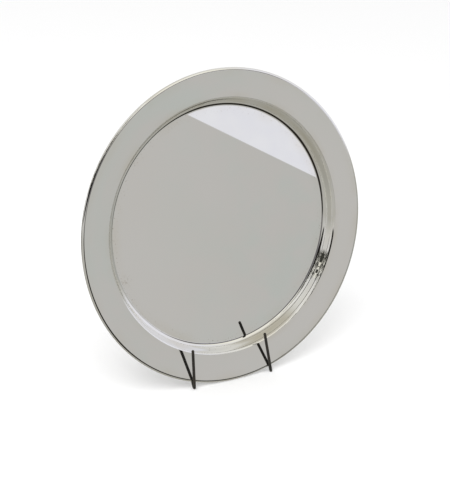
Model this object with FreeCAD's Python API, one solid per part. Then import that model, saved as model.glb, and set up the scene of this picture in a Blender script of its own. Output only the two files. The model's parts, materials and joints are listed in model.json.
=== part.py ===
import FreeCAD, Part
import math
import os

os.makedirs("parts", exist_ok=True)

# Offering plate leaning on a folding wire stand. Millimetres, +Z up, front faces -Y.
# The origin is on the table, midway between the two front feet of the stand.

# plate
plate_diameter = 305.0
plate_depth = 11.6
well_radius = 116.0
sheet_thickness = 1.2
edge_bead_diameter = 2.6
rim_slope = 4.7
wall_slope = 72.0
shoulder_radius = 3.0
cove_radius = 4.6

# stand
plate_lean = 8.0
wire_diameter = 2.8
hook_spacing = 87.5
prong_lean = 14.0
back_run_lean = 22.0
left_prong_height = 44.6
left_prong_sideways = -7.7
right_prong_height = 46.6
right_prong_sideways = -16.0
foot_bend_radius = 1.7
elbow_bend_radius = 10.0
upright_height = 176.0
lower_cross_height = 42.0
cross_overhang = 4.0

# rear leg
hinge_height = 126.0
leg_opening = 29.0
leg_spacing = 60.0
leg_corner_radius = 9.0
knuckle_diameter = 6.0
knuckle_length = 8.0
stop_tail_extra = 3.5

# clearances
seat_clearance = 0.6
back_clearance = 0.4
stop_clearance = 0.3
hinge_clearance = 0.05
weld_depth = 0.3

plate_radius = plate_diameter / 2
bead_radius = edge_bead_diameter / 2
wire_radius = wire_diameter / 2
hook_x = hook_spacing / 2
leg_x = leg_spacing / 2

Vector = FreeCAD.Vector


def sine(degrees):
    return math.sin(math.radians(degrees))


def cosine(degrees):
    return math.cos(math.radians(degrees))


def tangent(degrees):
    return math.tan(math.radians(degrees))


# Everything is built in the plate's own frame: X to the right, Y up along the plate,
# Z out of its front, zero at the middle of the edge bead's circle.

bead_circle_radius = plate_radius - bead_radius

# The bead sits in the V of each hook, clear of both runs by the seat clearance.
hook_half_angle = (prong_lean + back_run_lean) / 2
hook_tilt = (back_run_lean - prong_lean) / 2
seat_y = -math.sqrt(bead_circle_radius ** 2 - hook_x ** 2)
corner_drop = (bead_radius + wire_radius + seat_clearance) / sine(hook_half_angle)
corner_y = seat_y - corner_drop * cosine(hook_tilt)
corner_z = corner_drop * sine(hook_tilt)

# centre of the round bend that forms each front foot
bend_rise = foot_bend_radius / sine(hook_half_angle)
foot_y = corner_y + bend_rise * cosine(hook_tilt)
foot_z = corner_z - bend_rise * sine(hook_tilt)

# plane of the uprights, just behind the underside of the well
upright_z = -(plate_depth + sheet_thickness + back_clearance + wire_radius)
cross_z = upright_z - wire_diameter + weld_depth

# height of the plate's centre over the table, and its distance behind the front feet
centre_height = foot_bend_radius + wire_radius - foot_y * cosine(plate_lean) - foot_z * sine(plate_lean)
centre_back = foot_z * cosine(plate_lean) - foot_y * sine(plate_lean)

# the leg's wires pass behind the hinge rod, and the stop wire sits in front of their tails
hinge_y = foot_y + hinge_height
leg_offset = knuckle_diameter / 2 + wire_radius - weld_depth
leg_y = hinge_y + leg_offset * sine(leg_opening)
leg_z = cross_z - leg_offset * cosine(leg_opening)
stop_distance = wire_diameter + stop_clearance
tail_reach = (upright_z - leg_z - stop_distance * cosine(leg_opening)) / sine(leg_opening)
stop_y = leg_y + tail_reach * cosine(leg_opening) - stop_distance * sine(leg_opening)


def front_normal(slope):
    return Vector(-sine(slope), 0, cosine(slope))


def inward(slope):
    return Vector(-cosine(slope), 0, -sine(slope))


def arc(centre, radius, start_slope, end_slope, side):
    points = []
    for slope in (start_slope, (start_slope + end_slope) / 2, end_slope):
        points.append(centre + front_normal(slope) * radius * side)
    return Part.Arc(*points).toShape()


def line(start, end):
    return Part.makeLine(start, end)


def edge_point(edge, last):
    return edge.valueAt(edge.LastParameter if last else edge.FirstParameter)


def wall_lengths():
    """Lengths of the rim and of the straight wall that bring the section to the well floor."""
    start = Vector(bead_circle_radius, 0, 0) + front_normal(rim_slope) * sheet_thickness / 2
    arcs = front_normal(wall_slope) * (shoulder_radius + cove_radius)
    arcs = arcs - front_normal(rim_slope) * shoulder_radius - Vector(0, 0, cove_radius)
    gap = Vector(well_radius, 0, -plate_depth) - start - arcs
    rim_step = inward(rim_slope)
    wall_step = inward(wall_slope)
    cross = rim_step.x * wall_step.z - rim_step.z * wall_step.x
    rim_length = (gap.x * wall_step.z - gap.z * wall_step.x) / cross
    wall_length = (rim_step.x * gap.z - rim_step.z * gap.x) / cross
    return rim_length, wall_length


def plate_section():
    """Closed half section of the dish, X outwards from the axis and Z to the front."""
    rim_length, wall_length = wall_lengths()
    bead_centre = Vector(bead_circle_radius, 0, 0)
    half = sheet_thickness / 2
    shoulder_centre = bead_centre + inward(rim_slope) * rim_length
    shoulder_centre = shoulder_centre + front_normal(rim_slope) * (half - shoulder_radius)
    cove_centre = Vector(well_radius, 0, cove_radius - plate_depth)

    bead_reach = math.sqrt(bead_radius ** 2 - half ** 2)
    rim_end = bead_centre + inward(rim_slope) * bead_reach
    front_start = rim_end + front_normal(rim_slope) * half
    back_start = rim_end - front_normal(rim_slope) * half
    bead_touch = bead_centre + inward(rim_slope) * bead_radius

    front_shoulder = arc(shoulder_centre, shoulder_radius, rim_slope, wall_slope, 1)
    front_cove = arc(cove_centre, cove_radius, wall_slope, 0, -1)
    back_shoulder = arc(shoulder_centre, shoulder_radius - sheet_thickness, rim_slope, wall_slope, 1)
    back_cove = arc(cove_centre, cove_radius + sheet_thickness, wall_slope, 0, -1)
    axis_front = Vector(0, 0, -plate_depth)
    axis_back = Vector(0, 0, -plate_depth - sheet_thickness)

    edges = [
        line(front_start, edge_point(front_shoulder, False)),
        front_shoulder,
        line(edge_point(front_shoulder, True), edge_point(front_cove, False)),
        front_cove,
        line(edge_point(front_cove, True), axis_front),
        line(axis_front, axis_back),
        line(axis_back, edge_point(back_cove, True)),
        back_cove,
        line(edge_point(back_cove, False), edge_point(back_shoulder, True)),
        back_shoulder,
        line(edge_point(back_shoulder, False), back_start),
        Part.Arc(back_start, bead_touch, front_start).toShape(),
    ]
    return Part.Face(Part.Wire(Part.__sortEdges__(edges)))


def plate_body():
    return plate_section().revolve(Vector(0, 0, 0), Vector(0, 0, 1), 360)


def rim_edge_wire():
    return Part.makeTorus(bead_circle_radius, bead_radius)


def bent_path(points, radii):
    """Straight runs through the points, joined by tangent arcs of the given radii."""
    edges = []
    start = points[0]
    for corner, after, radius in zip(points[1:], points[2:], radii):
        back = (start - corner).normalize()
        ahead = (after - corner).normalize()
        half = back.getAngle(ahead) / 2
        run_out = radius / math.tan(half)
        middle = (back + ahead).normalize()
        centre = corner + middle * (radius / math.sin(half))
        arc_start = corner + back * run_out
        arc_end = corner + ahead * run_out
        edges.append(line(start, arc_start))
        edges.append(Part.Arc(arc_start, centre - middle * radius, arc_end).toShape())
        start = arc_end
    edges.append(line(start, points[-1]))
    return Part.Wire(edges)


def round_wire(points, radii):
    """Bent wire with rounded ends, the points being those of its centre line."""
    path = bent_path(points, radii)
    section = Part.Wire(Part.makeCircle(wire_radius, points[0], points[1] - points[0]))
    shape = path.makePipe(Part.Face(section))
    for end in (points[0], points[-1]):
        shape = shape.fuse(Part.makeSphere(wire_radius, end))
    return shape.removeSplitter()


def straight_rod(half_length, y, z):
    start = Vector(-half_length, y, z)
    return Part.makeCylinder(wire_radius, half_length * 2, start, Vector(1, 0, 0))


def side_wire(side, prong_height, prong_sideways):
    """Prong, V-shaped foot, run behind the plate's edge and upright, in one piece."""
    x = side * hook_x
    corner = Vector(x, corner_y, corner_z)
    prong = Vector(tangent(prong_sideways), 1, tangent(prong_lean)) * prong_height
    elbow_y = corner_y + (corner_z - upright_z) / tangent(back_run_lean)
    elbow = Vector(x, elbow_y, upright_z)
    top = Vector(x, foot_y + upright_height, upright_z)
    return round_wire([corner + prong, corner, elbow, top], [foot_bend_radius, elbow_bend_radius])


def rear_leg_wire():
    """U-shaped leg lying behind the hinge rod, its foot run on the table."""
    down = Vector(0, -cosine(leg_opening), -sine(leg_opening))
    start = Vector(0, leg_y, leg_z)
    start_height = centre_height + leg_y * cosine(plate_lean) + leg_z * sine(plate_lean)
    leg_length = (start_height - wire_radius) / cosine(leg_opening - plate_lean)
    foot = start + down * leg_length
    tail = start - down * (tail_reach + stop_tail_extra)
    aside = Vector(leg_x, 0, 0)
    points = [tail - aside, foot - aside, foot + aside, tail + aside]
    return round_wire(points, [leg_corner_radius, leg_corner_radius])


def knuckle(side, leg):
    """Sleeve that turns on the hinge rod, hollowed where the leg's wire is welded to it."""
    start = Vector(side * leg_x - knuckle_length / 2, hinge_y, cross_z)
    along = Vector(1, 0, 0)
    outer = Part.makeCylinder(knuckle_diameter / 2, knuckle_length, start, along)
    bore = Part.makeCylinder(wire_radius + hinge_clearance, knuckle_length, start, along)
    return outer.cut(bore).cut(leg)


def welded_rod(half_length, y, z, side_wires):
    rod = straight_rod(half_length, y, z)
    for wire in side_wires:
        rod = rod.cut(wire)
    return max(rod.Solids, key=lambda solid: solid.Volume)


def place(shape):
    """Turns a shape from the plate's frame to the table's frame."""
    turn = FreeCAD.Rotation(Vector(1, 0, 0), 90 - plate_lean)
    shape.Placement = FreeCAD.Placement(Vector(0, centre_back, centre_height), turn)
    return shape


left_wire = side_wire(-1, left_prong_height, left_prong_sideways)
right_wire = side_wire(1, right_prong_height, right_prong_sideways)
leg_wire = rear_leg_wire()
side_wires = [left_wire, right_wire]
overhang = hook_x + cross_overhang

nodes = {
    "plate_body": plate_body(),
    "rim_edge_wire": rim_edge_wire(),
    "left_side_wire": left_wire,
    "right_side_wire": right_wire,
    "lower_cross_wire": welded_rod(overhang, foot_y + lower_cross_height, cross_z, side_wires),
    "hinge_rod": welded_rod(overhang, hinge_y, cross_z, side_wires),
    "stop_cross_wire": welded_rod(hook_x, stop_y, upright_z, side_wires),
    "rear_leg_wire": leg_wire,
    "left_knuckle": knuckle(-1, leg_wire),
    "right_knuckle": knuckle(1, leg_wire),
}

for name, shape in nodes.items():
    place(shape).exportStep("parts/" + name + ".step")
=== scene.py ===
import bpy
import bmesh
import json
import math
from mathutils import Matrix, Vector


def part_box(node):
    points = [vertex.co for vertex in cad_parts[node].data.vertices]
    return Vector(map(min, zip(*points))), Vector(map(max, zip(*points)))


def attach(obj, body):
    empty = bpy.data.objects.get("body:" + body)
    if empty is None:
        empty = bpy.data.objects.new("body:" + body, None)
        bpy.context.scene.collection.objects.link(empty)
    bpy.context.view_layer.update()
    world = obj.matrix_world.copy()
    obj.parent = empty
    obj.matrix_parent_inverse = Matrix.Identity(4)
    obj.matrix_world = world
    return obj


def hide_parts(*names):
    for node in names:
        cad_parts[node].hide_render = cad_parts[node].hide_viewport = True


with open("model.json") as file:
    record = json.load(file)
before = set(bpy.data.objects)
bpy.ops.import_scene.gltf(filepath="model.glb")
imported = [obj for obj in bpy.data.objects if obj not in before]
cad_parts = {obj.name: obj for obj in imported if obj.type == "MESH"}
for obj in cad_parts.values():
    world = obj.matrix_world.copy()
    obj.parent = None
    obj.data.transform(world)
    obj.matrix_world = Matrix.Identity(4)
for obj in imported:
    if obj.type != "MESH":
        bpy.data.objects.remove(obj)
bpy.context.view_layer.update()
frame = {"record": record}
record = frame["record"]


# The plate's own frame: X to the right, Y up along the plate, Z out of its front,
# zero at the middle of the edge bead's circle.
plateFrame = {
    "wellDepth": 0.0116,  # bead circle down to the well floor
}

wellMount = next(m for m in record["mounts"] if m["name"] == "well_floor")
liftJoint = next(j for j in record["behaviour"]["joints"] if j["name"] == "plate_lift")
outward = Vector(wellMount["axis"]).normalized()
upPlate = Vector(liftJoint["axis"]).normalized()
plateCentre = Vector(wellMount["pos_m"]) + outward * plateFrame["wellDepth"]
plateLean = math.asin(outward.z)
toTable = Matrix((
    (1, 0, 0, plateCentre.x),
    (0, upPlate.y, outward.y, plateCentre.y),
    (0, upPlate.z, outward.z, plateCentre.z),
    (0, 0, 0, 1),
))
lowEdge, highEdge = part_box("rim_edge_wire")
plateRadius = (highEdge.x - lowEdge.x) / 2


# Small helpers for angles, node trees and meshes

def sine(degrees):
    return math.sin(math.radians(degrees))


def cosine(degrees):
    return math.cos(math.radians(degrees))


def tangent(degrees):
    return math.tan(math.radians(degrees))


def addNode(tree, kind, **settings):
    node = tree.nodes.new(kind)
    for name, value in settings.items():
        setattr(node, name, value)
    return node


def maths(tree, operation, *values, clamp=False):
    node = tree.nodes.new("ShaderNodeMath")
    node.operation = operation
    node.use_clamp = clamp
    for index, value in enumerate(values):
        if isinstance(value, (int, float)):
            node.inputs[index].default_value = value
        else:
            tree.links.new(value, node.inputs[index])
    return node.outputs[0]


def smoothStep(tree, value, low, high, start=0.0, end=1.0):
    node = tree.nodes.new("ShaderNodeMapRange")
    node.interpolation_type = "SMOOTHSTEP"
    node.inputs["From Min"].default_value = low
    node.inputs["From Max"].default_value = high
    node.inputs["To Min"].default_value = start
    node.inputs["To Max"].default_value = end
    tree.links.new(value, node.inputs["Value"])
    return node.outputs["Result"]


def band(tree, value, inStart, inEnd, outStart, outEnd):
    # full between the middle two, nothing beyond the outer two
    fadeIn = smoothStep(tree, value, inStart, inEnd)
    fadeOut = smoothStep(tree, value, outStart, outEnd, 1.0, 0.0)
    return maths(tree, "MULTIPLY", fadeIn, fadeOut)


def mixColour(tree, share, first, second):
    node = tree.nodes.new("ShaderNodeMix")
    node.data_type = "RGBA"
    sockets = [node.inputs[0], node.inputs[6], node.inputs[7]]
    for socket, value in zip(sockets, (share, first, second)):
        if isinstance(value, (int, float)):
            socket.default_value = value
        elif isinstance(value, tuple):
            socket.default_value = (*value, 1.0)
        else:
            tree.links.new(value, socket)
    return node.outputs[2]


def noise(tree, vector, scale, detail=2.0, roughness=0.5):
    node = tree.nodes.new("ShaderNodeTexNoise")
    node.inputs["Scale"].default_value = scale
    node.inputs["Detail"].default_value = detail
    node.inputs["Roughness"].default_value = roughness
    tree.links.new(vector, node.inputs["Vector"])
    return node.outputs["Fac"]


def meshFrom(holder, name):
    # the evaluated modifier result as a plain mesh object at the origin
    depsgraph = bpy.context.evaluated_depsgraph_get()
    mesh = bpy.data.meshes.new_from_object(holder.evaluated_get(depsgraph))
    piece = bpy.data.objects.new(name, mesh)
    bpy.context.scene.collection.objects.link(piece)
    holder.modifiers.clear()
    bpy.data.objects.remove(holder)
    return piece


mergeDistance = 1e-6
shortestEdge = 1e-7


def cleanMesh(piece):
    work = bmesh.new()
    work.from_mesh(piece.data)
    bmesh.ops.remove_doubles(work, verts=work.verts, dist=mergeDistance)
    bmesh.ops.dissolve_degenerate(work, edges=work.edges, dist=shortestEdge)
    bmesh.ops.recalc_face_normals(work, faces=work.faces)
    work.to_mesh(piece.data)
    work.free()
    for face in piece.data.polygons:
        face.use_smooth = True


def polyCurve(name, points, radii=None, closed=False):
    curve = bpy.data.curves.new(name, "CURVE")
    curve.dimensions = "3D"
    spline = curve.splines.new("POLY")
    spline.points.add(len(points) - 1)
    for index, point in enumerate(points):
        spline.points[index].co = (*point, 1.0)
        if radii:
            spline.points[index].radius = radii[index]
    spline.use_cyclic_u = closed
    curveObject = bpy.data.objects.new(name, curve)
    bpy.context.scene.collection.objects.link(curveObject)
    return curveObject


def newGeometryTree(name, inputs):
    tree = bpy.data.node_groups.new(name, "GeometryNodeTree")
    tree.interface.new_socket("Geometry", in_out="INPUT", socket_type="NodeSocketGeometry")
    for label, socketType in inputs:
        tree.interface.new_socket(label, in_out="INPUT", socket_type=socketType)
    tree.interface.new_socket("Geometry", in_out="OUTPUT", socket_type="NodeSocketGeometry")
    start = tree.nodes.new("NodeGroupInput")
    end = tree.nodes.new("NodeGroupOutput")
    return tree, start, end


def finishTree(tree, start, end, geometry):
    # every tree ends in Realize Instances and Set Material
    realize = tree.nodes.new("GeometryNodeRealizeInstances")
    setMaterial = tree.nodes.new("GeometryNodeSetMaterial")
    tree.links.new(geometry, realize.inputs[0])
    tree.links.new(realize.outputs[0], setMaterial.inputs["Geometry"])
    tree.links.new(start.outputs["Finish"], setMaterial.inputs["Material"])
    tree.links.new(setMaterial.outputs[0], end.inputs[0])


def runTree(holder, tree, values, name):
    modifier = holder.modifiers.new(tree.name, "NODES")
    modifier.node_group = tree
    for item in tree.interface.items_tree:
        if item.in_out == "INPUT" and item.name in values:
            modifier[item.identifier] = values[item.name]
    return meshFrom(holder, name)


# Finishes

silverLook = {
    "colour": (0.86, 0.862, 0.845),
    "tarnish": (0.80, 0.775, 0.70),
    "brownStain": (0.36, 0.30, 0.22),
    "scuffAt": (-0.104, -0.037, -0.0116),
    "scuffSize": (0.002, 0.008),
    "tarnishByBead": (0.140, 0.152),  # distances from the axis, as in the next two
    "tarnishByWall": (0.104, 0.117, 0.124, 0.132),
    "specksByFoot": (0.107, 0.1145, 0.116, 0.118),
    "tarnishShare": 0.6,
    "hazeShare": 0.12,
    "speckShare": 0.55,
    "scuffShare": 0.35,
    "roughness": 0.004,
    "hazeRoughness": 0.006,
    "ringRoughness": 0.003,
    "scratchBump": 0.03,
}

wireLook = {
    "paint": (0.010, 0.009, 0.008),
    "paintWarm": (0.022, 0.017, 0.011),
    "steel": (0.30, 0.28, 0.25),
    "speckShare": 0.5,
    "roughness": 0.42,
    "paintBump": 0.35,
}


def makeSilver(name):
    material = bpy.data.materials.new(name)
    material.use_nodes = True
    tree = material.node_tree
    shader = tree.nodes["Principled BSDF"]
    shader.inputs["Metallic"].default_value = 1.0
    coordinates = addNode(tree, "ShaderNodeTexCoord")
    # turned so that its Z is the axis that the dish was spun about
    local = addNode(tree, "ShaderNodeMapping", vector_type="TEXTURE")
    local.inputs["Location"].default_value = plateCentre
    local.inputs["Rotation"].default_value = (math.pi / 2 - plateLean, 0, 0)
    tree.links.new(coordinates.outputs["Object"], local.inputs["Vector"])
    split = addNode(tree, "ShaderNodeSeparateXYZ")
    tree.links.new(local.outputs[0], split.inputs[0])
    squareX = maths(tree, "MULTIPLY", split.outputs[0], split.outputs[0])
    squareY = maths(tree, "MULTIPLY", split.outputs[1], split.outputs[1])
    radius = maths(tree, "SQRT", maths(tree, "ADD", squareX, squareY))
    angle = maths(tree, "ARCTAN2", split.outputs[1], split.outputs[0])

    # warm tarnish gathers by the bead and along the wall
    byBead = smoothStep(tree, radius, *silverLook["tarnishByBead"])
    byWall = band(tree, radius, *silverLook["tarnishByWall"])
    edges = maths(tree, "MAXIMUM", byBead, byWall)
    blotches = smoothStep(tree, noise(tree, local.outputs[0], 22.0, 4.0, 0.6), 0.38, 0.72)
    fineBlotches = noise(tree, local.outputs[0], 160.0, 3.0, 0.6)
    tarnish = maths(tree, "MULTIPLY", edges, blotches)
    tarnish = maths(tree, "MULTIPLY", tarnish, maths(tree, "ADD", 0.55, fineBlotches))
    haze = smoothStep(tree, noise(tree, local.outputs[0], 9.0, 3.0, 0.55), 0.3, 0.75)
    tarnish = maths(tree, "MULTIPLY", tarnish, silverLook["tarnishShare"])
    tarnish = maths(tree, "ADD", tarnish, maths(tree, "MULTIPLY", haze, silverLook["hazeShare"]), clamp=True)
    colour = mixColour(tree, tarnish, silverLook["colour"], silverLook["tarnish"])

    # brown specks along the foot of the wall, and a faint scuff low on the left of the well
    byFoot = band(tree, radius, *silverLook["specksByFoot"])
    specks = smoothStep(tree, noise(tree, local.outputs[0], 520.0, 3.0, 0.65), 0.60, 0.70)
    specks = maths(tree, "MULTIPLY", specks, byFoot)
    scuffPlace = addNode(tree, "ShaderNodeVectorMath", operation="DISTANCE")
    scuffPlace.inputs[1].default_value = silverLook["scuffAt"]
    tree.links.new(local.outputs[0], scuffPlace.inputs[0])
    scuff = smoothStep(tree, scuffPlace.outputs["Value"], *silverLook["scuffSize"], 1.0, 0.0)
    broken = smoothStep(tree, noise(tree, local.outputs[0], 330.0, 4.0, 0.7), 0.5, 0.66)
    scuff = maths(tree, "MULTIPLY", scuff, maths(tree, "MULTIPLY", broken, silverLook["scuffShare"]))
    marks = maths(tree, "MAXIMUM", maths(tree, "MULTIPLY", specks, silverLook["speckShare"]), scuff)
    colour = mixColour(tree, marks, colour, silverLook["brownStain"])
    tree.links.new(colour, shader.inputs["Base Color"])

    # cloudy polish with faint spun rings
    spun = addNode(tree, "ShaderNodeCombineXYZ")
    tree.links.new(maths(tree, "MULTIPLY", radius, 900.0), spun.inputs[0])
    tree.links.new(maths(tree, "MULTIPLY", angle, 1.5), spun.inputs[1])
    rings = noise(tree, spun.outputs[0], 1.0, 3.0, 0.65)
    rough = maths(tree, "MULTIPLY", haze, silverLook["hazeRoughness"])
    rough = maths(tree, "ADD", rough, maths(tree, "MULTIPLY", rings, silverLook["ringRoughness"]))
    rough = maths(tree, "ADD", rough, silverLook["roughness"])
    tree.links.new(rough, shader.inputs["Roughness"])

    # hairline scratches from wiping, all in one direction
    swirl = addNode(tree, "ShaderNodeMapping")
    swirl.inputs["Rotation"].default_value = (0, 0, 0.6)
    swirl.inputs["Scale"].default_value = (60.0, 2600.0, 60.0)
    tree.links.new(local.outputs[0], swirl.inputs["Vector"])
    hairs = noise(tree, swirl.outputs[0], 1.0, 2.0, 0.5)
    scratches = maths(tree, "ADD", maths(tree, "MULTIPLY", hairs, 0.6), maths(tree, "MULTIPLY", rings, 0.4))
    bump = addNode(tree, "ShaderNodeBump")
    bump.inputs["Strength"].default_value = silverLook["scratchBump"]
    bump.inputs["Distance"].default_value = 0.000004
    tree.links.new(scratches, bump.inputs["Height"])
    tree.links.new(bump.outputs[0], shader.inputs["Normal"])
    return material


def makeWirePaint(name):
    material = bpy.data.materials.new(name)
    material.use_nodes = True
    tree = material.node_tree
    shader = tree.nodes["Principled BSDF"]
    coordinates = addNode(tree, "ShaderNodeTexCoord")
    place = coordinates.outputs["Object"]
    patches = smoothStep(tree, noise(tree, place, 120.0, 4.0, 0.6), 0.35, 0.7)
    colour = mixColour(tree, patches, wireLook["paint"], wireLook["paintWarm"])
    # paint is worn through in specks, most of all where the feet meet the table
    split = addNode(tree, "ShaderNodeSeparateXYZ")
    tree.links.new(place, split.inputs[0])
    foot = smoothStep(tree, split.outputs[2], 0.0002, 0.0016, 1.0, 0.0)
    specks = smoothStep(tree, noise(tree, place, 900.0, 3.0, 0.7), 0.66, 0.74)
    rubbed = smoothStep(tree, noise(tree, place, 500.0, 3.0, 0.6), 0.4, 0.6)
    rubbed = maths(tree, "MULTIPLY", foot, rubbed)
    specks = maths(tree, "MULTIPLY", specks, wireLook["speckShare"])
    worn = maths(tree, "MAXIMUM", specks, rubbed, clamp=True)
    colour = mixColour(tree, worn, colour, wireLook["steel"])
    tree.links.new(colour, shader.inputs["Base Color"])
    tree.links.new(worn, shader.inputs["Metallic"])
    grain = noise(tree, place, 1400.0, 3.0, 0.6)
    rough = maths(tree, "ADD", wireLook["roughness"] - 0.1, maths(tree, "MULTIPLY", grain, 0.22))
    tree.links.new(rough, shader.inputs["Roughness"])
    bump = addNode(tree, "ShaderNodeBump")
    bump.inputs["Strength"].default_value = wireLook["paintBump"]
    bump.inputs["Distance"].default_value = 0.0002
    lumps = maths(tree, "ADD", maths(tree, "MULTIPLY", noise(tree, place, 420.0, 3.0, 0.6), 0.7),
                  maths(tree, "MULTIPLY", grain, 0.3))
    tree.links.new(lumps, bump.inputs["Height"])
    tree.links.new(bump.outputs[0], shader.inputs["Normal"])
    return material


polishedSilver = makeSilver("polishedSilver")
darkWirePaint = makeWirePaint("darkWirePaint")
print("finishes made")


# Plate: one spun dish and the bead round its edge

dish = {
    "sheet": 0.0012,
    "wellRadius": 0.1154,  # flat part of the well
    "rimSlope": 4.7,  # degrees, rising outwards
    "wallSlope": 71.0,  # steepest part of the wall
    "beadRadius": 0.0013,
    "rollSheet": 0.00035,  # sheet thinned where it is rolled round the edge wire
    "rollEnd": -150.0,  # how far round the wire the roll reaches, in degrees
    "rollSteps": 30,
    "beadGap": 0.00002,  # between the edge wire and the sheet rolled round it
    "spinSteps": 480,
}

# bends met on the way out from the well: slope before, slope after, radius, steps
bends = {
    "foot of the wall": (0.0, 20.0, 0.0080, 14),
    "cove": (20.0, 58.0, 0.0034, 14),
    "lower wall": (58.0, 71.0, 0.0140, 10),
    "upper wall": (71.0, 58.0, 0.0140, 10),
    "shoulder": (58.0, 28.0, 0.0040, 14),
    "crease": (28.0, 4.7, 0.0005, 8),
    "fall to the edge": (4.7, -25.0, 0.0040, 12),
}


def slopeNormal(slope):
    return Vector((-sine(slope), cosine(slope)))


def bendPoint(start, before, slope, radius):
    # where a path that turns at this radius is when it reaches the slope
    side = 1 if slope > before else -1
    return start + Vector((sine(slope) - sine(before), cosine(before) - cosine(slope))) * radius * side


def dishSection():
    # half section from the axis out over the front, round the rolled edge and back underneath
    bead = Vector((plateRadius - dish["beadRadius"], 0))
    wellEdge = Vector((dish["wellRadius"], -plateFrame["wellDepth"]))
    lastSlope = bends["fall to the edge"][1]
    gap = bead + slopeNormal(lastSlope) * dish["beadRadius"] - wellEdge
    for before, after, radius, steps in bends.values():
        gap = gap - bendPoint(Vector((0, 0)), before, after, radius)
    wallWay = Vector((cosine(dish["wallSlope"]), sine(dish["wallSlope"])))
    rimWay = Vector((cosine(dish["rimSlope"]), sine(dish["rimSlope"])))
    cross = wallWay.x * rimWay.y - wallWay.y * rimWay.x
    straights = {
        "lower wall": wallWay * ((gap.x * rimWay.y - gap.y * rimWay.x) / cross),
        "crease": rimWay * ((wallWay.x * gap.y - wallWay.y * gap.x) / cross),
    }
    front = [(wellEdge * Vector((share, 1)), 0.0) for share in (0, 0.2, 0.45, 0.7, 0.88, 0.96, 0.99, 0.9985)]
    under = list(front)
    here = wellEdge
    for name, (before, after, radius, steps) in bends.items():
        turned = [before + (after - before) * step / steps for step in range(steps + 1)]
        part = [(bendPoint(here, before, slope, radius), slope) for slope in turned]
        here = part[-1][0]
        if name in straights:
            part += [(here + straights[name] * share, after) for share in (0.02, 0.1, 0.35, 0.65, 0.9, 0.98)]
            here = here + straights[name]
        front += part
        if name == "crease":
            under += part[len(turned):]
        elif name != "fall to the edge":
            under += part
    rollSteps = dish["rollSteps"]
    rollTurn = dish["rollEnd"] - 90 - lastSlope
    turns = [90 + lastSlope + rollTurn * step / rollSteps for step in range(1, rollSteps + 1)]
    inner = dish["beadRadius"] - dish["rollSheet"]
    roll = [bead + Vector((cosine(turn), sine(turn))) * dish["beadRadius"] for turn in turns]
    roll += [bead + Vector((cosine(turn), sine(turn))) * inner for turn in turns[::-1] + [90, 120, 145, 165]]
    below = [point - slopeNormal(slope) * dish["sheet"] for point, slope in under]
    return [point for point, slope in front] + roll + below[::-1]


def spinTree():
    tree, start, end = newGeometryTree("spunSection", [
        ("Spin radius", "NodeSocketFloat"), ("Steps", "NodeSocketInt"), ("Finish", "NodeSocketMaterial")])
    circle = addNode(tree, "GeometryNodeCurvePrimitiveCircle", mode="RADIUS")
    tree.links.new(start.outputs["Steps"], circle.inputs["Resolution"])
    tree.links.new(start.outputs["Spin radius"], circle.inputs["Radius"])
    sweep = addNode(tree, "GeometryNodeCurveToMesh")
    tree.links.new(circle.outputs["Curve"], sweep.inputs["Curve"])
    tree.links.new(start.outputs["Geometry"], sweep.inputs["Profile Curve"])
    merge = addNode(tree, "GeometryNodeMergeByDistance")
    merge.inputs["Distance"].default_value = mergeDistance
    tree.links.new(sweep.outputs[0], merge.inputs["Geometry"])
    finishTree(tree, start, end, merge.outputs[0])
    return tree


spun = spinTree()


def spinSection(section, name, material, place, steps, closed=False):
    # section points are (distance from the axis, height along it)
    spinRadius = 0.1
    outline = [(point.x - spinRadius, -point.y, 0) for point in section]
    curveObject = polyCurve(name + "Section", outline, closed=closed)
    piece = runTree(curveObject, spun, {"Spin radius": spinRadius, "Steps": steps, "Finish": material}, name)
    piece.data.transform(place)
    cleanMesh(piece)
    return piece


def makeBead():
    centre = Vector((plateRadius - dish["beadRadius"], 0))
    radius = dish["beadRadius"] - dish["rollSheet"] - dish["beadGap"]
    ring = [centre + Vector((cosine(turn), sine(turn))) * radius for turn in range(0, 360, 15)]
    return spinSection(ring, "edgeBead", polishedSilver, toTable, dish["spinSteps"], closed=True)


platter = spinSection(dishSection(), "platter", polishedSilver, toTable, dish["spinSteps"])
edgeBead = makeBead()
print("plate spun:", len(platter.data.polygons), "and", len(edgeBead.data.polygons), "faces")


# Stand: bent wires with rounded ends, welded where they cross

stand = {
    "wireRadius": 0.0014,
    "hookX": 0.04375,
    "prongLean": 14.0,
    "backRunLean": 22.0,
    "prongs": {"left": (0.0446, -7.7), "right": (0.0466, -16.0)},  # height, sideways lean
    "seatClearance": 0.0006,
    "backClearance": 0.0004,
    "footBend": 0.0017,
    "elbowBend": 0.010,
    "uprightHeight": 0.176,
    "lowerCrossHeight": 0.042,
    "crossOverhang": 0.004,
    "weldDepth": 0.0003,
    "wireSides": 18,
    "bendSteps": 14,
    "ringSpacing": 0.0004,
    "unevenness": 0.05,
    "wobbleScale": 140.0,
}

rearLeg = {
    "hingeHeight": 0.126,
    "opening": 29.0,
    "legX": 0.030,
    "cornerBend": 0.009,
    "knuckleRadius": 0.003,
    "knuckleLength": 0.008,
    "knuckleLip": 0.0004,
    "lipSteps": 5,
    "knuckleSteps": 40,
    "hingeClearance": 0.00005,
    "stopClearance": 0.0003,
    "tailExtra": 0.0035,
}


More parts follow.
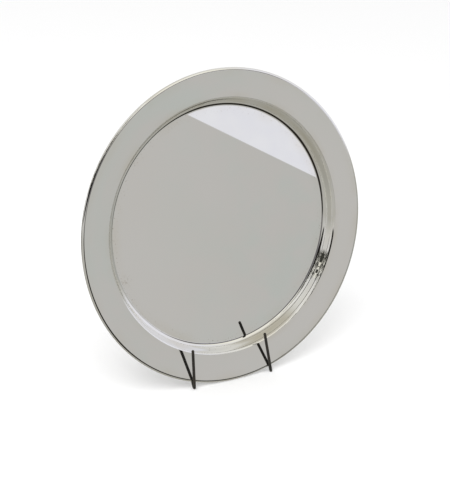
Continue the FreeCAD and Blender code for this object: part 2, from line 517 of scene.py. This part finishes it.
def wireTree():
    tree, start, end = newGeometryTree("bentWire", [
        ("Wire radius", "NodeSocketFloat"), ("Bend steps", "NodeSocketInt"),
        ("Ring spacing", "NodeSocketFloat"), ("Sides", "NodeSocketInt"),
        ("Unevenness", "NodeSocketFloat"), ("Seed", "NodeSocketFloat"),
        ("Finish", "NodeSocketMaterial")])
    # each corner's own bend radius is stored as its curve radius
    cornerRadius = addNode(tree, "GeometryNodeInputRadius")
    fillet = addNode(tree, "GeometryNodeFilletCurve")
    fillet.inputs["Limit Radius"].default_value = True
    fillet.mode = "POLY"
    tree.links.new(start.outputs["Geometry"], fillet.inputs["Curve"])
    tree.links.new(cornerRadius.outputs[0], fillet.inputs["Radius"])
    tree.links.new(start.outputs["Bend steps"], fillet.inputs["Count"])
    resample = addNode(tree, "GeometryNodeResampleCurve")
    resample.mode = "LENGTH"
    tree.links.new(fillet.outputs[0], resample.inputs["Curve"])
    tree.links.new(start.outputs["Ring spacing"], resample.inputs["Length"])
    # rounded ends: the radius falls as a quarter circle over the last wire radius
    along = addNode(tree, "GeometryNodeSplineParameter")
    length = addNode(tree, "GeometryNodeSplineLength")
    left = maths(tree, "SUBTRACT", length.outputs["Length"], along.outputs["Length"])
    nearest = maths(tree, "MINIMUM", along.outputs["Length"], left)
    share = maths(tree, "DIVIDE", nearest, start.outputs["Wire radius"], clamp=True)
    inner = maths(tree, "SUBTRACT", 1.0, share)
    roundEnd = maths(tree, "SQRT", maths(tree, "SUBTRACT", 1.002, maths(tree, "MULTIPLY", inner, inner)))
    roundEnd = maths(tree, "MINIMUM", roundEnd, 1.0)
    wobble = addNode(tree, "ShaderNodeTexNoise", noise_dimensions="4D")
    wobble.inputs["Scale"].default_value = stand["wobbleScale"]
    position = addNode(tree, "GeometryNodeInputPosition")
    tree.links.new(position.outputs[0], wobble.inputs["Vector"])
    tree.links.new(start.outputs["Seed"], wobble.inputs["W"])
    swing = maths(tree, "SUBTRACT", wobble.outputs["Fac"], 0.5)
    uneven = maths(tree, "MULTIPLY", swing, start.outputs["Unevenness"])
    thickness = maths(tree, "MULTIPLY", roundEnd, maths(tree, "ADD", 1.0, uneven))
    thickness = maths(tree, "MULTIPLY", thickness, start.outputs["Wire radius"])
    setRadius = addNode(tree, "GeometryNodeSetCurveRadius")
    tree.links.new(resample.outputs[0], setRadius.inputs["Curve"])
    tree.links.new(thickness, setRadius.inputs["Radius"])
    ring = addNode(tree, "GeometryNodeCurvePrimitiveCircle", mode="RADIUS")
    ring.inputs["Radius"].default_value = 1.0
    tree.links.new(start.outputs["Sides"], ring.inputs["Resolution"])
    sweep = addNode(tree, "GeometryNodeCurveToMesh")
    sweep.inputs["Fill Caps"].default_value = True
    tree.links.new(setRadius.outputs[0], sweep.inputs["Curve"])
    tree.links.new(ring.outputs["Curve"], sweep.inputs["Profile Curve"])
    readRadius = addNode(tree, "GeometryNodeInputRadius")
    tree.links.new(readRadius.outputs[0], sweep.inputs["Scale"])
    finishTree(tree, start, end, sweep.outputs[0])
    return tree


bentWire = wireTree()
wireSeeds = iter(range(3, 40))


def makeWire(name, points, bendRadii):
    # the rounded ends reach one wire radius beyond the first and last points
    first = points[0] + (points[0] - points[1]).normalized() * stand["wireRadius"]
    last = points[-1] + (points[-1] - points[-2]).normalized() * stand["wireRadius"]
    route = [first] + points[1:-1] + [last]
    route = [toTable @ point for point in route]
    radii = [0.0] + bendRadii + [0.0]
    curveObject = polyCurve(name + "Route", route, radii)
    piece = runTree(curveObject, bentWire, {
        "Wire radius": stand["wireRadius"], "Bend steps": stand["bendSteps"],
        "Ring spacing": stand["ringSpacing"], "Sides": stand["wireSides"],
        "Unevenness": stand["unevenness"], "Seed": float(next(wireSeeds)), "Finish": darkWirePaint}, name)
    cleanMesh(piece)
    return piece


wireRadius = stand["wireRadius"]
hookHalfAngle = (stand["prongLean"] + stand["backRunLean"]) / 2
hookTilt = (stand["backRunLean"] - stand["prongLean"]) / 2
beadCircle = plateRadius - dish["beadRadius"]
seatY = -math.sqrt(beadCircle ** 2 - stand["hookX"] ** 2)
cornerDrop = (dish["beadRadius"] + wireRadius + stand["seatClearance"]) / sine(hookHalfAngle)
cornerY = seatY - cornerDrop * cosine(hookTilt)
cornerZ = cornerDrop * sine(hookTilt)
footY = cornerY + stand["footBend"] / sine(hookHalfAngle) * cosine(hookTilt)
uprightZ = -(plateFrame["wellDepth"] + dish["sheet"] + stand["backClearance"] + wireRadius)
crossZ = uprightZ - wireRadius * 2 + stand["weldDepth"]
hingeY = footY + rearLeg["hingeHeight"]


def makeSideWire(side, name):
    height, sideways = stand["prongs"][name]
    x = side * stand["hookX"]
    corner = Vector((x, cornerY, cornerZ))
    tip = corner + Vector((tangent(sideways), 1, tangent(stand["prongLean"]))) * height
    elbow = Vector((x, cornerY + (cornerZ - uprightZ) / tangent(stand["backRunLean"]), uprightZ))
    top = Vector((x, footY + stand["uprightHeight"], uprightZ))
    bendRadii = [stand["footBend"], stand["elbowBend"]]
    return makeWire(name + "SideWire", [tip, corner, elbow, top], bendRadii)


leftSideWire = makeSideWire(-1, "left")
rightSideWire = makeSideWire(1, "right")

# rear leg: wires behind the hinge rod, tails running up behind the stop wire
opening = rearLeg["opening"]
legOffset = rearLeg["knuckleRadius"] + wireRadius - stand["weldDepth"]
legY = hingeY + legOffset * sine(opening)
legZ = crossZ - legOffset * cosine(opening)
stopDistance = wireRadius * 2 + rearLeg["stopClearance"]
tailReach = (uprightZ - legZ - stopDistance * cosine(opening)) / sine(opening)
stopY = legY + tailReach * cosine(opening) - stopDistance * sine(opening)
legDown = Vector((0, -cosine(opening), -sine(opening)))
legTop = Vector((0, legY, legZ))
legLength = ((toTable @ legTop).z - wireRadius) / cosine(opening - math.degrees(plateLean))
legFoot = legTop + legDown * legLength
legTail = legTop - legDown * (tailReach + rearLeg["tailExtra"])
aside = Vector((rearLeg["legX"], 0, 0))
rearLegWire = makeWire("rearLegWire", [legTail - aside, legFoot - aside, legFoot + aside, legTail + aside],
                       [rearLeg["cornerBend"], rearLeg["cornerBend"]])


def makeCrossWire(name, halfLength, y, z):
    reach = halfLength - wireRadius
    return makeWire(name, [Vector((-reach, y, z)), Vector((0, y, z)), Vector((reach, y, z))], [0.0])


crossHalf = stand["hookX"] + stand["crossOverhang"]
lowerCrossY = footY + stand["lowerCrossHeight"]
lowerCrossWire = makeCrossWire("lowerCrossWire", crossHalf, lowerCrossY, crossZ)
hingeRod = makeCrossWire("hingeRod", crossHalf, hingeY, crossZ)
stopCrossWire = makeCrossWire("stopCrossWire", stand["hookX"], stopY, uprightZ)
print("wires bent")


def makeKnuckle(side, name):
    # a short tube with rounded lips, spun about the hinge rod
    bore = wireRadius + rearLeg["hingeClearance"]
    outer = rearLeg["knuckleRadius"]
    half = rearLeg["knuckleLength"] / 2
    lip = rearLeg["knuckleLip"]
    lipSteps = rearLeg["lipSteps"]
    section = []
    corners = ((outer, half, 0), (bore, half, 90), (bore, -half, 180), (outer, -half, 270))
    for radius, height, start in corners:
        inX = -lip if start in (0, 270) else lip
        inY = -lip if height > 0 else lip
        centre = Vector((radius + inX, height + inY))
        for step in range(lipSteps + 1):
            turn = math.radians(start + 90 * step / lipSteps)
            section.append(centre + Vector((math.cos(turn), math.sin(turn))) * lip)
    middle = Vector((side * rearLeg["legX"], hingeY, crossZ))
    place = toTable @ Matrix.Translation(middle) @ Matrix.Rotation(math.pi / 2, 4, "Y")
    return spinSection(section, name, darkWirePaint, place, rearLeg["knuckleSteps"], closed=True)


leftKnuckle = makeKnuckle(-1, "leftKnuckle")
rightKnuckle = makeKnuckle(1, "rightKnuckle")


# Welds: small uneven beads where the wires cross, and where the leg's wires meet the knuckles

weld = {
    "beadRadius": 0.00165,
    "kneeRadius": 0.0012,  # the smaller beads beside the knuckles
    "unevenness": 0.0006,
    "kneeGap": 0.0026,
    "lumpScale": 650.0,
    "subdivisions": 4,
}


def weldTree():
    tree, start, end = newGeometryTree("weldBeads", [
        ("Bead radius", "NodeSocketFloat"), ("Unevenness", "NodeSocketFloat"), ("Seed", "NodeSocketInt"),
        ("Finish", "NodeSocketMaterial")])
    ball = addNode(tree, "GeometryNodeMeshIcoSphere")
    ball.inputs["Subdivisions"].default_value = weld["subdivisions"]
    tree.links.new(start.outputs["Bead radius"], ball.inputs["Radius"])
    lumps = addNode(tree, "ShaderNodeTexNoise")
    lumps.inputs["Scale"].default_value = weld["lumpScale"]
    normal = addNode(tree, "GeometryNodeInputNormal")
    swell = maths(tree, "SUBTRACT", lumps.outputs["Fac"], 0.5)
    swell = maths(tree, "MULTIPLY", swell, start.outputs["Unevenness"])
    push = addNode(tree, "ShaderNodeVectorMath", operation="SCALE")
    tree.links.new(normal.outputs["Normal"], push.inputs[0])
    tree.links.new(swell, push.inputs["Scale"])
    lumpy = addNode(tree, "GeometryNodeSetPosition")
    tree.links.new(ball.outputs["Mesh"], lumpy.inputs["Geometry"])
    tree.links.new(push.outputs[0], lumpy.inputs["Offset"])
    turned = addNode(tree, "FunctionNodeRandomValue", data_type="FLOAT_VECTOR")
    turned.inputs["Max"].default_value = (6.28, 6.28, 6.28)
    tree.links.new(start.outputs["Seed"], turned.inputs["Seed"])
    beads = addNode(tree, "GeometryNodeInstanceOnPoints")
    tree.links.new(start.outputs["Geometry"], beads.inputs["Points"])
    tree.links.new(lumpy.outputs[0], beads.inputs["Instance"])
    tree.links.new(turned.outputs[0], beads.inputs["Rotation"])
    finishTree(tree, start, end, beads.outputs[0])
    return tree


weldBeads = weldTree()


def makeWelds(name, places, radius, seed):
    mesh = bpy.data.meshes.new(name + "Places")
    mesh.from_pydata([toTable @ place for place in places], [], [])
    holder = bpy.data.objects.new(name + "Places", mesh)
    bpy.context.scene.collection.objects.link(holder)
    piece = runTree(holder, weldBeads, {"Bead radius": radius, "Unevenness": weld["unevenness"],
                                        "Seed": seed, "Finish": darkWirePaint}, name)
    cleanMesh(piece)
    return piece


contactZ = (uprightZ + crossZ) / 2
framePlaces = []
legPlaces = []
for side in (-1, 1):
    hookX = side * stand["hookX"]
    framePlaces.append(Vector((hookX, lowerCrossY, contactZ)))
    framePlaces.append(Vector((hookX, hingeY, contactZ)))
    framePlaces.append(Vector((hookX - side * wireRadius, stopY, uprightZ)))
    for gap in (-weld["kneeGap"], weld["kneeGap"]):
        legPlaces.append(Vector((
            side * rearLeg["legX"] + gap,
            hingeY + rearLeg["knuckleRadius"] * sine(opening),
            crossZ - rearLeg["knuckleRadius"] * cosine(opening),
        )))
frameWelds = makeWelds("frameWelds", framePlaces, weld["beadRadius"], 5)
legWelds = makeWelds("legWelds", legPlaces, weld["kneeRadius"], 9)
for piece, body in ((frameWelds, "stand_frame"), (legWelds, "rear_leg")):
    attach(piece, body)
print("welds laid:", len(framePlaces) + len(legPlaces))

pieces = {
    "plate": [
        (platter, "plate_body", "polished_silver"),
        (edgeBead, "rim_edge_wire", "polished_silver"),
    ],
    "stand_frame": [
        (leftSideWire, "left_side_wire", "dark_wire"),
        (rightSideWire, "right_side_wire", "dark_wire"),
        (lowerCrossWire, "lower_cross_wire", "dark_wire"),
        (stopCrossWire, "stop_cross_wire", "dark_wire"),
        (hingeRod, "hinge_rod", "dark_wire"),
    ],
    "rear_leg": [
        (rearLegWire, "rear_leg_wire", "dark_wire"),
        (leftKnuckle, "left_knuckle", "dark_wire"),
        (rightKnuckle, "right_knuckle", "dark_wire"),
    ],
}

for body, members in pieces.items():
    for piece, node, slot in members:
        low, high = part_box(node)
        xs = [v.co.x for v in piece.data.vertices]
        ys = [v.co.y for v in piece.data.vertices]
        zs = [v.co.z for v in piece.data.vertices]
        off = max(abs(min(xs) - low.x), abs(min(ys) - low.y), abs(min(zs) - low.z),
                  abs(max(xs) - high.x), abs(max(ys) - high.y), abs(max(zs) - high.z))
        print("piece", piece.name, "box differs from its node by", round(off * 1000, 3), "mm")
        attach(piece, body)
        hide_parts(node)


# Room, light and camera

room = {
    "floorSize": 12.0,
    "floorColour": (0.93, 0.93, 0.93),
    "floorRoughness": 0.9,
    "floorShine": 0.1,
    "skyColour": (1.0, 1.0, 1.0),
    "skyStrength": 1.0,
}


def makeFloor():
    half = room["floorSize"] / 2
    mesh = bpy.data.meshes.new("floor")
    corners = [(-half, -half, 0), (half, -half, 0), (half, half, 0), (-half, half, 0)]
    mesh.from_pydata(corners, [], [(0, 1, 2, 3)])
    floor = bpy.data.objects.new("floor", mesh)
    bpy.context.scene.collection.objects.link(floor)
    material = bpy.data.materials.new("palePaper")
    material.use_nodes = True
    shader = material.node_tree.nodes["Principled BSDF"]
    shader.inputs["Base Color"].default_value = (*room["floorColour"], 1)
    shader.inputs["Roughness"].default_value = room["floorRoughness"]
    shader.inputs["Specular IOR Level"].default_value = room["floorShine"]
    mesh.materials.append(material)
    floor.visible_glossy = False  # the mirror shows the room, not the paper


makeFloor()


# What stands round the plate and shows only in its polish. Each card has an azimuth from
# straight ahead of the plate, a height over the horizon, half its width, half its height
# and its soft edge, all in degrees, and then its colour. Later cards cover earlier ones.
cards = {
    "lit wall ahead right": (67.0, 20.0, 24.0, 15.0, 6.0, (0.88, 0.88, 0.96)),
    "cream ceiling ahead": (5.0, 30.0, 28.0, 18.0, 8.0, (0.95, 0.93, 0.85)),
    "beige ceiling middle": (0.0, 90.0, 180.0, 16.0, 16.0, (0.60, 0.57, 0.50)),
    "brown curtain left": (-116.0, -9.0, 20.0, 8.0, 6.0, (0.10, 0.085, 0.06)),
    "grey corner": (56.0, -11.0, 16.0, 6.0, 5.0, (0.42, 0.42, 0.40)),
    "dark floor ahead": (19.0, -22.0, 21.0, 9.5, 8.0, (0.022, 0.020, 0.016)),
    "dark rail ahead": (-9.0, 37.0, 17.0, 3.5, 3.0, (0.05, 0.045, 0.04)),
    "dark plinth ahead": (13.0, -7.5, 10.0, 3.0, 2.0, (0.03, 0.028, 0.024)),
    "dark clutter": (-30.0, 19.0, 31.0, 13.5, 3.0, (0.015, 0.014, 0.013)),
    "dark shelf": (-64.0, 29.0, 30.0, 8.0, 4.0, (0.05, 0.05, 0.045)),
    "dark frame": (21.0, 4.5, 15.0, 5.5, 5.0, (0.15, 0.145, 0.155)),
    "grey wall": (29.3, -6.2, 5.8, 6.2, 1.2, (0.53, 0.535, 0.51)),
    "daylight panel": (31.8, -6.0, 4.0, 6.3, 1.2, (0.81, 0.81, 0.895)),
}

panelEdge = ((28.2, -1.3), (33.5, -4.6))  # two points on the panel's lower edge: azimuth, height

surroundings = {
    "table": (0.44, 0.43, 0.395),
    "lowWall": (0.50, 0.49, 0.46),
    "highWall": (0.74, 0.73, 0.73),
    "ceiling": (0.85, 0.84, 0.82),
    "glint": (0.90, 0.89, 0.84),
    "cloudWarm": (0.545, 0.530, 0.515),
    "cloudCool": (0.515, 0.535, 0.515),
    "panelPale": (0.90, 0.90, 0.94),
    "warmLeft": (0.565, 0.55, 0.535),  # the grey wall is lighter and warmer at its left
}


def makeRoom():
    world = bpy.data.worlds.new("room")
    bpy.context.scene.world = world
    world.use_nodes = True
    tree = world.node_tree
    background = tree.nodes["Background"]
    way = addNode(tree, "ShaderNodeTexCoord").outputs["Generated"]
    split = addNode(tree, "ShaderNodeSeparateXYZ")
    tree.links.new(way, split.inputs[0])
    aheadSide = maths(tree, "MULTIPLY", split.outputs[1], -1.0)
    azimuth = maths(tree, "DEGREES", maths(tree, "ARCTAN2", split.outputs[0], aheadSide))
    height = maths(tree, "DEGREES", maths(tree, "ARCSINE", split.outputs[2]))

    def cardShare(azimuthMiddle, heightMiddle, halfWidth, halfHeight, softness):
        # the shorter way round to the card's middle
        aside = maths(tree, "WRAP", maths(tree, "SUBTRACT", azimuth, azimuthMiddle), 180.0, -180.0)
        aside = maths(tree, "ABSOLUTE", aside)
        above = maths(tree, "ABSOLUTE", maths(tree, "SUBTRACT", height, heightMiddle))
        inWidth = smoothStep(tree, aside, halfWidth, halfWidth + softness, 1.0, 0.0)
        inHeight = smoothStep(tree, above, halfHeight, halfHeight + softness, 1.0, 0.0)
        return maths(tree, "MULTIPLY", inWidth, inHeight)

    tableEnd = smoothStep(tree, height, -32.0, -14.0)
    shade = mixColour(tree, tableEnd, surroundings["table"], surroundings["lowWall"])
    shade = mixColour(tree, smoothStep(tree, height, -5.0, 10.0), shade, surroundings["highWall"])
    shade = mixColour(tree, smoothStep(tree, height, 30.0, 60.0), shade, surroundings["ceiling"])
    # bright glints among the dark things to the left
    stretched = addNode(tree, "ShaderNodeMapping")
    stretched.inputs["Scale"].default_value = (7.0, 7.0, 14.0)
    tree.links.new(way, stretched.inputs["Vector"])
    rise = smoothStep(tree, height, 12.0, 32.0, -0.17, 0.03)
    glints = maths(tree, "ADD", noise(tree, stretched.outputs[0], 1.8, 2.0, 0.55), rise)
    glints = smoothStep(tree, glints, 0.52, 0.57)
    for name, values in cards.items():
        share, colour = cardShare(*values[:5]), values[5]
        if name in ("dark clutter", "dark shelf", "dark rail ahead"):
            colour = mixColour(tree, glints, colour, surroundings["glint"])
        if name == "grey wall":
            # faint warm and cool clouds
            cloud = smoothStep(tree, noise(tree, way, 26.0, 3.0, 0.6), 0.35, 0.65)
            colour = mixColour(tree, cloud, surroundings["cloudWarm"], surroundings["cloudCool"])
            leftShare = smoothStep(tree, azimuth, 24.0, 33.0, 1.0, 0.0)
            colour = mixColour(tree, leftShare, colour, surroundings["warmLeft"])
        if name == "daylight panel":
            patches = noise(tree, way, 60.0, 3.0, 0.6)
            colour = mixColour(tree, patches, surroundings["panelPale"], colour)
            # its lower edge is straight and slants down to the right
            ends = [Vector((sine(a) * cosine(e), -cosine(a) * cosine(e), sine(e))) for a, e in panelEdge]
            edgeNormal = ends[1].cross(ends[0]).normalized()
            edgeNormal = edgeNormal if edgeNormal.z > 0 else -edgeNormal
            dot = addNode(tree, "ShaderNodeVectorMath", operation="DOT_PRODUCT")
            dot.inputs[1].default_value = edgeNormal
            tree.links.new(way, dot.inputs[0])
            share = maths(tree, "MULTIPLY", share, smoothStep(tree, dot.outputs["Value"], -0.0003, 0.0003))
        shade = mixColour(tree, share, shade, colour)
    light = addNode(tree, "ShaderNodeLightPath")
    colour = mixColour(tree, light.outputs["Is Glossy Ray"], room["skyColour"], shade)
    tree.links.new(colour, background.inputs["Color"])
    background.inputs["Strength"].default_value = room["skyStrength"]


makeRoom()

lamp = {"energy": 18.0, "size": 1.2, "place": (-0.9, -0.9, 1.6)}
areaLight = bpy.data.lights.new("softLamp", "AREA")
areaLight.energy = lamp["energy"]
areaLight.size = lamp["size"]
lampObject = bpy.data.objects.new("softLamp", areaLight)
bpy.context.scene.collection.objects.link(lampObject)
lampObject.location = lamp["place"]
lampObject.visible_glossy = False  # it lights the floor without showing in the mirror
lampObject.rotation_euler = (plateCentre - lampObject.location).to_track_quat("-Z", "Y").to_euler()

viewpoint = {
    "azimuth": -31.068,
    "elevation": 21.046,
    "roll": 2.099,
    "distance": 8.4418,  # in plate radii, as are the two slides
    "slideRight": 0.0164,
    "slideUp": 0.1505,
    "lens": 96.43,
    "sensorWidth": 36.0,
}


def makeCamera():
    turn, lift = viewpoint["azimuth"], viewpoint["elevation"]
    back = Vector((sine(turn) * cosine(lift), -cosine(turn) * cosine(lift), sine(lift)))
    right = Vector((cosine(turn), sine(turn), 0))
    up = back.cross(right)
    rolled = right * cosine(viewpoint["roll"]) + up * sine(viewpoint["roll"])
    up = up * cosine(viewpoint["roll"]) - right * sine(viewpoint["roll"])
    place = plateCentre + (back * viewpoint["distance"] - rolled * viewpoint["slideRight"]
                           - up * viewpoint["slideUp"]) * plateRadius
    camera = bpy.data.cameras.new("viewCamera")
    camera.lens = viewpoint["lens"]
    camera.sensor_width = viewpoint["sensorWidth"]
    cameraObject = bpy.data.objects.new("viewCamera", camera)
    bpy.context.scene.collection.objects.link(cameraObject)
    cameraObject.matrix_world = Matrix((
        (rolled.x, up.x, back.x, place.x),
        (rolled.y, up.y, back.y, place.y),
        (rolled.z, up.z, back.z, place.z),
        (0, 0, 0, 1),
    ))
    bpy.context.scene.camera = cameraObject


makeCamera()
bpy.context.scene.view_settings.view_transform = "Standard"
print("room, light and camera placed")
